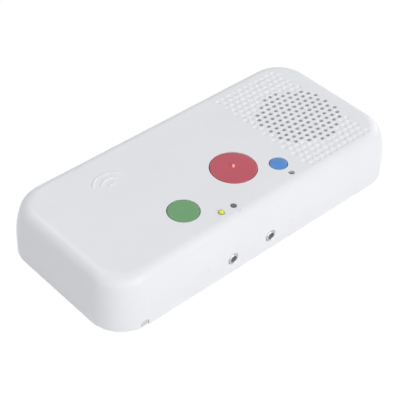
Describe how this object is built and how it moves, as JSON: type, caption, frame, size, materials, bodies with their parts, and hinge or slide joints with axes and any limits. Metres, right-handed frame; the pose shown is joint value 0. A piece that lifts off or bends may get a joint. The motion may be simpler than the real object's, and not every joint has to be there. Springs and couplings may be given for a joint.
{
  "type": "nurse call room terminal",
  "caption": "Low white wall terminal with rounded corners, coloured round call buttons, indicator lamps, microphone hole, pierced loudspeaker grille and sockets for call leads.",
  "frame": {"origin": "middle of the back face that lies on the wall or table", "axes": "+X along the housing towards the loudspeaker, +Y from the socket side to the back edge, +Z out of the button face"},
  "size_m": [0.196, 0.091, 0.0324],
  "materials": {
    "white_housing": "finely textured moulded white plastic",
    "base_plastic": "moulded light grey plastic",
    "red_cap": "satin red moulded cap",
    "green_cap": "satin green moulded cap",
    "blue_cap": "satin blue moulded cap",
    "lit_guide": "clear light guide, lit",
    "yellow_lamp": "clear light pipe, lit yellow",
    "smoked_lamp": "smoked light pipe, unlit",
    "black_plastic": "moulded black plastic",
    "grey_plastic": "moulded grey plastic",
    "cream_plastic": "moulded natural plastic",
    "terminal_plastic": "moulded green plastic",
    "green_laminate": "solder resist over glass laminate",
    "led_resin": "clear resin",
    "can_sleeve": "shrink sleeve",
    "can_aluminium": "drawn can",
    "black_rubber": "soft black rubber",
    "grey_rubber": "soft grey rubber",
    "grey_foam": "closed-cell foam",
    "black_cloth": "acoustic cloth",
    "spider_cloth": "resin-treated cloth",
    "cone_paper": "pressed paper",
    "basket_steel": "pressed steel",
    "zinc_steel": "zinc-plated steel",
    "ferrite": "sintered ferrite",
    "nickel": "nickel-plated ferrule",
    "brass_tag": "tinned brass",
    "copper": "copper",
    "red_insulation": "insulated wire"
  },
  "bodies": {
    "housing": {"top_cover": "white_housing", "base_plate": "base_plastic", "call_switches": "black_plastic", "presence_switch": "black_plastic", "assist_switch": "black_plastic", "main_board": "green_laminate", "board_screws": "zinc_steel", "control_chip": "black_plastic", "supply_capacitor": "can_sleeve", "led_chips": "led_resin", "status_lamp": "yellow_lamp", "alarm_lamp": "smoked_lamp", "mic_capsule": "can_aluminium", "mic_sleeve": "grey_rubber", "dust_cloth": "black_cloth", "foam_ring": "grey_foam", "speaker_basket": "basket_steel", "speaker_top_plate": "zinc_steel", "speaker_magnet": "ferrite", "speaker_yoke": "zinc_steel", "cone_roll": "black_rubber", "spider": "spider_cloth", "speaker_tags": "brass_tag", "speaker_wires": "red_insulation", "wire_plug": "cream_plastic", "speaker_screws": "zinc_steel", "antenna_board": "green_laminate", "antenna_coil": "copper", "board_header": "black_plastic", "jack_bodies": "grey_plastic", "jack_ferrules": "nickel", "jack_contacts": "brass_tag", "terminal_block": "terminal_plastic", "terminal_screws": "zinc_steel"},
    "call_button": {"call_button": "red_cap", "call_light_guide": "lit_guide"},
    "presence_button": {"presence_button": "green_cap"},
    "assist_button": {"assist_button": "blue_cap"},
    "call_plungers": {"call_plungers": "grey_plastic"},
    "presence_plunger": {"presence_plunger": "grey_plastic"},
    "assist_plunger": {"assist_plunger": "grey_plastic"},
    "speaker_cone": {"speaker_cone": "cone_paper", "voice_coil": "copper", "dust_cap": "cone_paper"}
  },
  "joints": [
    {"name": "call_press", "type": "slide", "parent": "housing", "child": "call_button", "axis": [0, 0, -1], "range_m": [0, 0.0008], "stiffness_N_per_m": 3500},
    {"name": "presence_press", "type": "slide", "parent": "housing", "child": "presence_button", "axis": [0, 0, -1], "range_m": [0, 0.0008], "stiffness_N_per_m": 2500},
    {"name": "assist_press", "type": "slide", "parent": "housing", "child": "assist_button", "axis": [0, 0, -1], "range_m": [0, 0.0008], "stiffness_N_per_m": 2000},
    {"name": "call_plunger_slide", "type": "slide", "parent": "housing", "child": "call_plungers", "axis": [0, 0, -1], "range_m": [0, 0.0012]},
    {"name": "presence_plunger_slide", "type": "slide", "parent": "housing", "child": "presence_plunger", "axis": [0, 0, -1], "range_m": [0, 0.0012]},
    {"name": "assist_plunger_slide", "type": "slide", "parent": "housing", "child": "assist_plunger", "axis": [0, 0, -1], "range_m": [0, 0.0012]},
    {"name": "cone_stroke", "type": "slide", "parent": "housing", "child": "speaker_cone", "axis": [0, 0, 1], "range_m": [-0.0005, 0.0005], "stiffness_N_per_m": 2500, "deforming": ["cone_roll", "spider"]}
  ],
  "couplings": [
    {"joint": "call_plunger_slide", "follows": "call_press", "ratio": 1},
    {"joint": "presence_plunger_slide", "follows": "presence_press", "ratio": 1},
    {"joint": "assist_plunger_slide", "follows": "assist_press", "ratio": 1}
  ]
}
